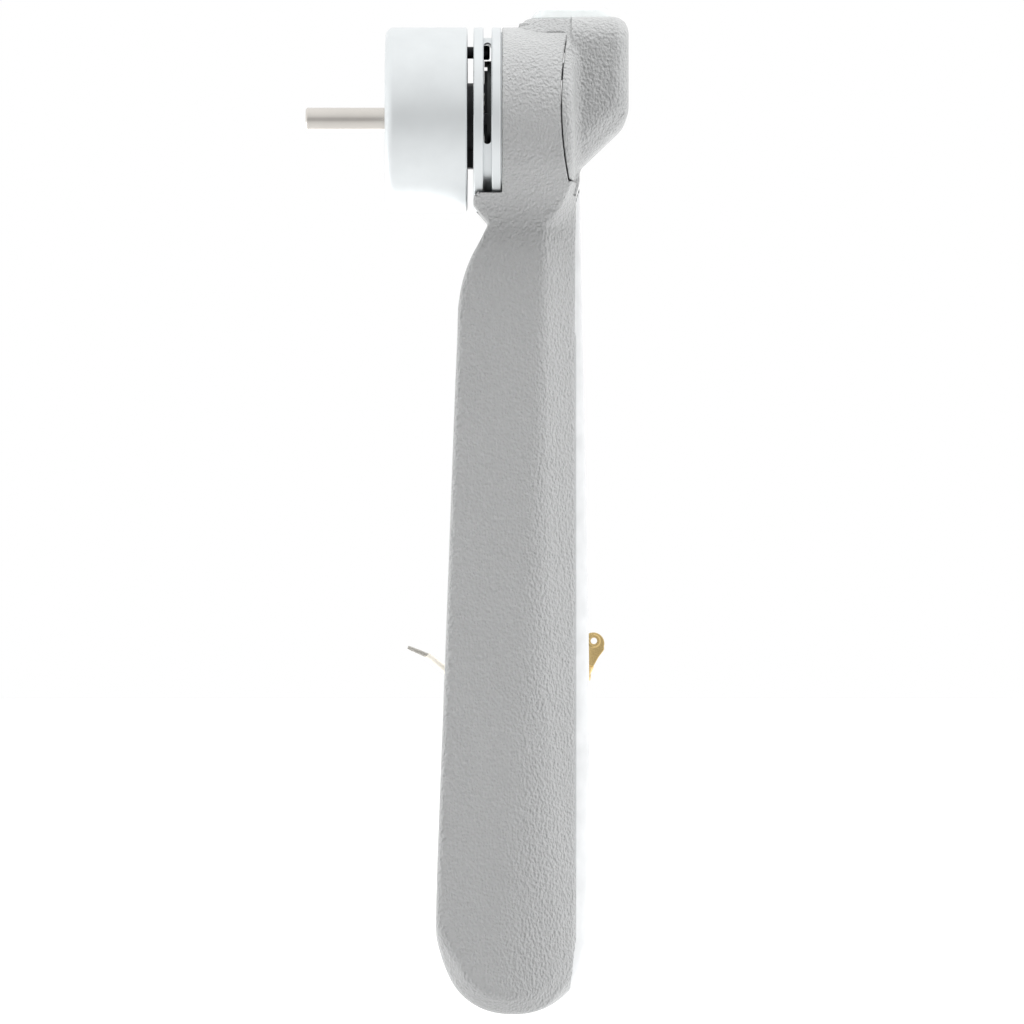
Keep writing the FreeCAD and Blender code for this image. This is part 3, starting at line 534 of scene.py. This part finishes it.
def make_grip():
    xs = grid_line(
        (11.8, 21.4, 0.66),
        (21.4, 29.6, 0.4),
        (29.6, 42.0, 0.62),
        (42.0, 47.6, 0.28),
        (47.6, 52.0, 0.55),
    )
    ys = grid_line((-24, -17, 0.7), (-17, -13, 0.4), (-13, 13, 0.62), (13, 17, 0.4), (17, 24, 0.7))
    zs = grid_line((-224.2, -198, 0.7), (-198, -34, 1.2), (-34, -22, 0.6), (-22, -14, 0.35), (-14, 24, 0.6))
    return stands_for(solid_from_field("grip_body", grip_field, xs, ys, zs), "lever", "grip_shell")


def make_strip():
    xs = grid_line((46.0, 52.0, 0.33))
    ys = grid_line((-10, 10, 0.4))
    zs = grid_line((-224.2, -198, 0.6), (-198, -26, 1.2), (-26, -15, 0.35))
    return stands_for(solid_from_field("back_strip", strip_field, xs, ys, zs), "lever", "rear_cover")


def make_cover():
    xs = grid_line((31.6, 42.0, 0.45), (42.0, 47.6, 0.28), (47.6, 61.2, 0.45))
    ys = grid_line((-23.6, 23.6, 0.46))
    zs = grid_line((-20, 26, 0.46))
    return stands_for(solid_from_field("head_cap_cover", cover_field, xs, ys, zs), "lever", "head_cover")


def make_cap():
    xs = grid_line((34.9, 57.3, 0.3))
    ys = grid_line((-5.3, 5.3, 0.3))
    zs = grid_line((20.6, 27.9, 0.25))
    return stands_for(solid_from_field("button_pill", cap_field, xs, ys, zs), "button", "button_cap")


grip = make_grip()
strip = make_strip()
cover = make_cover()
cap = make_cap()


# ---- Ends of the leads ----

STRAND_R = 0.15
STRAND_LENGTH = 5.4
STRAND_TWIST = 1.1


def tube_rings(line, radius, sides=8):
    """Points and faces of a capped tube that follows a line of points."""
    line = np.array(line, float)
    ahead = np.gradient(line, axis=0)
    ahead /= np.linalg.norm(ahead, axis=1)[:, None]
    across = np.cross(ahead, (0, 1, 0.1))
    across /= np.linalg.norm(across, axis=1)[:, None]
    third = np.cross(ahead, across)
    angle = np.linspace(0, 2 * np.pi, sides, endpoint=False)[None, :, None]
    rings = line[:, None] + radius * (across[:, None] * np.cos(angle) + third[:, None] * np.sin(angle))
    count = len(line)
    faces = [
        (r * sides + i, r * sides + (i + 1) % sides, (r + 1) * sides + (i + 1) % sides, (r + 1) * sides + i)
        for r in range(count - 1)
        for i in range(sides)
    ]
    faces += [tuple(range(sides))[::-1], tuple((count - 1) * sides + i for i in range(sides))]
    return rings.reshape(-1, 3), faces


def make_strands():
    """Stripped wire: a loose right-hand twist of fine tinned strands."""
    start = np.array(WHITE_ROUTE[-1])
    ahead = np.array([-5.1, 0, 2.2])
    ahead /= np.linalg.norm(ahead)
    across = np.array([0.0, 1, 0])
    third = np.cross(ahead, across)
    random = np.random.default_rng(4)
    points, faces = [], []
    for ring, (count, radius) in enumerate(((1, 0.0), (6, 0.27), (9, 0.46))):
        for i in range(count):
            stray, short = random.uniform(-0.06, 0.1), random.uniform(0, 0.5)
            t = np.linspace(0, 1 - short / STRAND_LENGTH, 18)
            turn = 2 * np.pi * (i / max(count, 1) + STRAND_TWIST * t) + ring
            spread = (radius * (1 - 0.45 * t**2) + stray * t * (radius > 0))[:, None]
            line = start + ahead * (STRAND_LENGTH * t[:, None] - 0.1)
            line = line + spread * (across * np.cos(turn)[:, None] + third * np.sin(turn)[:, None])
            ring_points, ring_faces = tube_rings(line, STRAND_R)
            first = sum(len(p) for p in points)
            points.append(ring_points)
            faces += [tuple(first + v for v in face) for face in ring_faces]
    made = mesh_object("stripped_strands", np.concatenate(points) * MM, faces)
    return stands_for(made, "lever", "lead_strands")


TERMINAL_EYE = (52.0, 13.0, -131.2)
TERMINAL_R = 2.8


def terminal_field(x, y, z):
    """A ring tongue, its neck and the barrel crimped round the lead."""
    foot = np.array(BRASS_ROUTE[-1])
    ahead = np.array(TERMINAL_EYE) - foot
    reach = np.linalg.norm(ahead)
    ahead /= reach
    along = (x - foot[0]) * ahead[0] + (z - foot[2]) * ahead[2]
    across = np.abs((x - foot[0]) * ahead[2] - (z - foot[2]) * ahead[0])
    depth = np.abs(y - foot[1])
    ring = np.hypot(along - reach, across) - TERMINAL_R
    neck = half_space((2.6, 1.0), (-1.65, 5.7), along, across)
    neck = np.maximum(neck, np.maximum(2.4 - along, along - reach + 1))
    plate = convex(concave(ring, neck, 1.0), depth - 0.4, 0.15)
    eyelet = np.hypot(along - reach - 0.7, across)
    rim = convex(np.abs(eyelet - 1.15) - 0.4, depth - 0.62, 0.15)
    plate = without(concave(plate, rim, 0.2), eyelet - 0.8, 0.12)
    pinch = 0.22 * np.exp(-((along - 1.9) ** 2) / 0.5)
    barrel = convex(np.hypot(across, depth) - 1.35 + pinch, np.maximum(-along, along - 3.6), 0.15)
    return concave(plate, barrel, 0.4)


def make_terminal():
    xs = grid_line((48.0, 55.2, 0.15))
    ys = grid_line((11.4, 14.6, 0.14))
    zs = grid_line((-141.1, -128.0, 0.17))
    made = solid_from_field("ring_terminal", terminal_field, xs, ys, zs)
    return stands_for(made, "lever", "brass_terminal")


strands = make_strands()
terminal = make_terminal()


# ---- Materials ----


class Shader:
    """A Principled material and the few nodes that feed it."""

    def __init__(self, name, color, roughness, metallic=0.0, specular=0.5):
        self.material = bpy.data.materials.new(name)
        self.material.use_nodes = True
        self.tree = self.material.node_tree
        self.shader = self.tree.nodes["Principled BSDF"]
        self.shader.inputs["Base Color"].default_value = (*color, 1)
        self.shader.inputs["Roughness"].default_value = roughness
        self.shader.inputs["Metallic"].default_value = metallic
        self.shader.inputs["Specular IOR Level"].default_value = specular
        self.color = color
        self.place = self.tree.nodes.new("ShaderNodeTexCoord").outputs["Object"]

    def set(self, **sockets):
        for name, value in sockets.items():
            self.shader.inputs[name.replace("_", " ")].default_value = value
        return self

    def node(self, kind, **inputs):
        made = self.tree.nodes.new(kind)
        for name, value in inputs.items():
            socket = made.inputs[name.replace("_", " ")]
            if isinstance(value, bpy.types.NodeSocket):
                self.tree.links.new(value, socket)
            else:
                socket.default_value = value
        return made

    def stretched(self, x, y, z):
        """The object's own coordinates, squeezed along each axis."""
        made = self.node("ShaderNodeMapping", Vector=self.place)
        made.inputs["Scale"].default_value = (x, y, z)
        return made.outputs["Vector"]

    def noise(self, scale, detail=2.0, roughness=0.5, vector=None):
        made = self.node(
            "ShaderNodeTexNoise",
            Vector=vector or self.place,
            Scale=scale,
            Detail=detail,
            Roughness=roughness,
        )
        return made.outputs["Fac"]

    def cells(self, scale, vector=None, smoothness=0.6):
        made = self.tree.nodes.new("ShaderNodeTexVoronoi")
        made.feature = "SMOOTH_F1"
        self.tree.links.new(vector or self.place, made.inputs["Vector"])
        made.inputs["Scale"].default_value = scale
        made.inputs["Smoothness"].default_value = smoothness
        return made.outputs["Distance"]

    def ranged(self, value, low_end, high_end, start=0.3, end=0.7):
        made = self.node("ShaderNodeMapRange", Value=value)
        sockets = ("From Min", "From Max", "To Min", "To Max")
        for name, number in zip(sockets, (start, end, low_end, high_end)):
            made.inputs[name].default_value = number
        return made.outputs["Result"]

    def combine(self, operation, a, b):
        made = self.tree.nodes.new("ShaderNodeMath")
        made.operation = operation
        for socket, value in zip(made.inputs, (a, b)):
            if isinstance(value, bpy.types.NodeSocket):
                self.tree.links.new(value, socket)
            else:
                socket.default_value = value
        return made.outputs["Value"]

    def tint(self, value, darker, lighter):
        """Base colour between two multiples of the material's own."""
        ramp = self.tree.nodes.new("ShaderNodeValToRGB")
        self.tree.links.new(value, ramp.inputs["Fac"])
        for element, share, at in zip(ramp.color_ramp.elements, (darker, lighter), (0.3, 0.7)):
            element.position = at
            element.color = (*[min(1.0, c * share) for c in self.color], 1)
        self.tree.links.new(ramp.outputs["Color"], self.shader.inputs["Base Color"])
        return self

    def rough(self, value, low_end, high_end):
        self.tree.links.new(self.ranged(value, low_end, high_end), self.shader.inputs["Roughness"])
        return self

    def bump(self, height, depth, strength=1.0):
        made = self.node("ShaderNodeBump", Height=height, Distance=depth, Strength=strength)
        self.tree.links.new(made.outputs["Normal"], self.shader.inputs["Normal"])
        return self


def grained_plastic(name, color, grain_depth, roughness):
    """Moulded plastic with a fine leather grain, its cells a little over half a millimetre."""
    s = Shader(name, color, roughness)
    warped = s.stretched(1.0, 1.0, 0.75)
    pebbles = s.cells(1600, warped)
    folds = s.noise(1500, 3.0, 0.55, warped)
    fine = s.noise(2600, 2.0, 0.6)
    height = s.combine("ADD", s.combine("MULTIPLY", pebbles, 0.75), s.combine("MULTIPLY", folds, 0.9))
    height = s.combine("ADD", height, s.combine("MULTIPLY", fine, 0.25))
    shade = s.combine("ADD", s.combine("MULTIPLY", folds, 0.7), s.combine("MULTIPLY", s.noise(60), 0.3))
    s.tint(shade, 0.95, 1.04)
    return s.rough(fine, roughness - 0.05, roughness + 0.06).bump(height, grain_depth).material


def satin_metal(name, color, roughness, line_axis=None, line_scale=4000, depth=0.000004):
    """Blasted or turned metal; turned lines run square to line_axis."""
    s = Shader(name, color, roughness, metallic=1.0)
    if line_axis is None:
        grain = s.noise(6500, 3.0, 0.6)
    else:
        squeeze = [0.02 if axis != line_axis else 1.0 for axis in range(3)]
        grain = s.noise(line_scale, 2.0, 0.6, s.stretched(*squeeze))
    s.tint(s.noise(140, 3.0), 0.97, 1.02)
    return s.rough(grain, roughness - 0.04, roughness + 0.05).bump(grain, depth).material


def plain_plastic(name, color, roughness, scale=1800, depth=0.000015):
    s = Shader(name, color, roughness)
    grain = s.noise(scale, 3.0, 0.6)
    s.tint(s.noise(220, 2.0), 0.94, 1.05)
    return s.rough(grain, roughness - 0.05, roughness + 0.06).bump(grain, depth).material


def translucent_plastic(name, color):
    s = Shader(name, color, 0.32)
    s.set(Subsurface_Weight=0.35, Subsurface_Radius=(0.004, 0.004, 0.004), Subsurface_Scale=1.0)
    haze = s.noise(500, 2.0)
    s.tint(haze, 0.985, 1.01)
    return s.rough(haze, 0.28, 0.38).bump(s.noise(2200, 2.0), 0.000006).material


MATERIALS = {
    "satin_aluminium": satin_metal("satin_aluminium", (0.80, 0.83, 0.84), 0.42),
    "stainless": satin_metal("stainless", (0.68, 0.65, 0.61), 0.22, line_axis=0, line_scale=5200),
    "plain_steel": satin_metal("plain_steel", (0.42, 0.43, 0.44), 0.35),
    "black_steel": satin_metal("black_steel", (0.03, 0.03, 0.032), 0.38),
    "bush_brass": satin_metal("bush_brass", (0.62, 0.42, 0.17), 0.34),
    "terminal_brass": satin_metal("terminal_brass", (0.72, 0.53, 0.24), 0.26, depth=0.000008),
    "tinned_copper": satin_metal("tinned_copper", (0.60, 0.58, 0.54), 0.28),
    "black_plastic": plain_plastic("black_plastic", (0.018, 0.018, 0.02), 0.42),
    "board_black": plain_plastic("board_black", (0.012, 0.014, 0.014), 0.36),
    "cable_black": plain_plastic("cable_black", (0.02, 0.02, 0.02), 0.45),
    "cream_insulation": plain_plastic("cream_insulation", (0.80, 0.76, 0.68), 0.45),
    "textured_grey": grained_plastic("textured_grey", (0.238, 0.241, 0.241), 0.00042, 0.42),
    "smooth_light_grey": plain_plastic("smooth_light_grey", (0.36, 0.365, 0.37), 0.38),
    "translucent_white": translucent_plastic("translucent_white", (0.34, 0.355, 0.355)),
}


def dress(piece, slot):
    piece.data.materials.clear()
    piece.data.materials.append(MATERIALS[slot])


for node, slot in SLOT_OF.items():
    dress(NODES[node], slot)
for piece, node in (
    (grip, "grip_shell"),
    (strip, "rear_cover"),
    (cover, "head_cover"),
    (cap, "button_cap"),
    (white_lead, "white_lead"),
    (brass_lead, "brass_lead"),
    (strands, "lead_strands"),
    (terminal, "brass_terminal"),
):
    dress(piece, SLOT_OF[node])


# ---- Stage and light ----

FLOOR_Z = -0.262
FLOOR_FRONT = 0.05
FLOOR_SIDE = 5.0
TENT_STRENGTH = 2.0
# (share of the way from behind the handle to the camera's side, share of the tent's strength)
TENT = [(0.0, 1.0), (0.5, 1.0), (0.62, 0.85), (0.7, 0.36), (0.82, 0.3), (1.0, 0.29)]
# The same for what the shiny parts mirror
MIRRORED = [(0.0, 0.52), (0.5, 0.54), (0.7, 0.51), (0.86, 0.47), (0.96, 0.4), (0.99, 0.27)]
# (place, side, watts) of the soft boxes, all turned to the middle of the handle
BOXES = [
    ((1.2, -0.3, -0.5), 0.7, 21.0),
    ((0.1, -0.35, 1.2), 0.7, 33.0),
    ((-1.2, -0.2, -0.3), 0.7, 20.0),
    ((0.0, -0.35, -1.3), 0.7, 6.0),
]


def make_floor():
    near, side = FLOOR_FRONT, FLOOR_SIDE
    corners = [(-side, near, FLOOR_Z), (side, near, FLOOR_Z), (side, side, FLOOR_Z), (-side, side, FLOOR_Z)]
    floor = mesh_object("floor", corners, [(0, 1, 2, 3)])
    s = Shader("pale_floor", (0.68, 0.68, 0.68), 0.9)
    s.tint(s.noise(3.0), 0.99, 1.01)
    floor.data.materials.append(s.material)


def grey_ramp(tree, place, levels):
    ramp = tree.nodes.new("ShaderNodeValToRGB")
    elements = ramp.color_ramp.elements
    while len(elements) < len(levels):
        elements.new(0.5)
    for element, (position, level) in zip(elements, levels):
        element.position = position
        element.color = (level, level, level, 1)
    tree.links.new(place, ramp.inputs["Fac"])
    return ramp.outputs["Color"]


def grey_mix(tree, share, first, second):
    mix = tree.nodes.new("ShaderNodeMix")
    mix.data_type = "RGBA"
    tree.links.new(share, mix.inputs["Factor"])
    tree.links.new(first, mix.inputs[6])
    tree.links.new(second, mix.inputs[7])
    return mix.outputs[2]


def make_world():
    """A light tent: bright all round, greyer where it opens to the camera."""
    world = bpy.data.worlds.new("tent")
    bpy.context.scene.world = world
    world.use_nodes = True
    tree = world.node_tree
    background = tree.nodes["Background"]
    background.inputs["Strength"].default_value = TENT_STRENGTH
    coordinates = tree.nodes.new("ShaderNodeTexCoord")
    axes = tree.nodes.new("ShaderNodeSeparateXYZ")
    turned = tree.nodes.new("ShaderNodeMapRange")
    turned.inputs["From Min"].default_value = 1.0
    turned.inputs["From Max"].default_value = -1.0
    tree.links.new(coordinates.outputs["Generated"], axes.inputs["Vector"])
    tree.links.new(axes.outputs["Y"], turned.inputs["Value"])
    rays = tree.nodes.new("ShaderNodeLightPath")
    lit = grey_ramp(tree, turned.outputs["Result"], TENT)
    mirrored = grey_ramp(tree, turned.outputs["Result"], MIRRORED)
    lit = grey_mix(tree, rays.outputs["Is Glossy Ray"], lit, mirrored)
    white = tree.nodes.new("ShaderNodeRGB").outputs["Color"]
    white.default_value = (1 / TENT_STRENGTH, 1 / TENT_STRENGTH, 1 / TENT_STRENGTH, 1)
    lit = grey_mix(tree, rays.outputs["Is Camera Ray"], lit, white)
    tree.links.new(lit, background.inputs["Color"])


def make_boxes():
    middle = Vector((0.03, 0, -0.1))
    for number, (place, side, watts) in enumerate(BOXES):
        data = bpy.data.lights.new(f"soft_box_{number}", "AREA")
        data.size = side
        data.energy = watts
        light = bpy.data.objects.new(data.name, data)
        light.location = place
        light.visible_glossy = False
        light.rotation_euler = (middle - light.location).to_track_quat("-Z", "Y").to_euler()
        bpy.context.scene.collection.objects.link(light)


make_floor()
make_world()
make_boxes()
bpy.context.scene.view_settings.view_transform = "Standard"
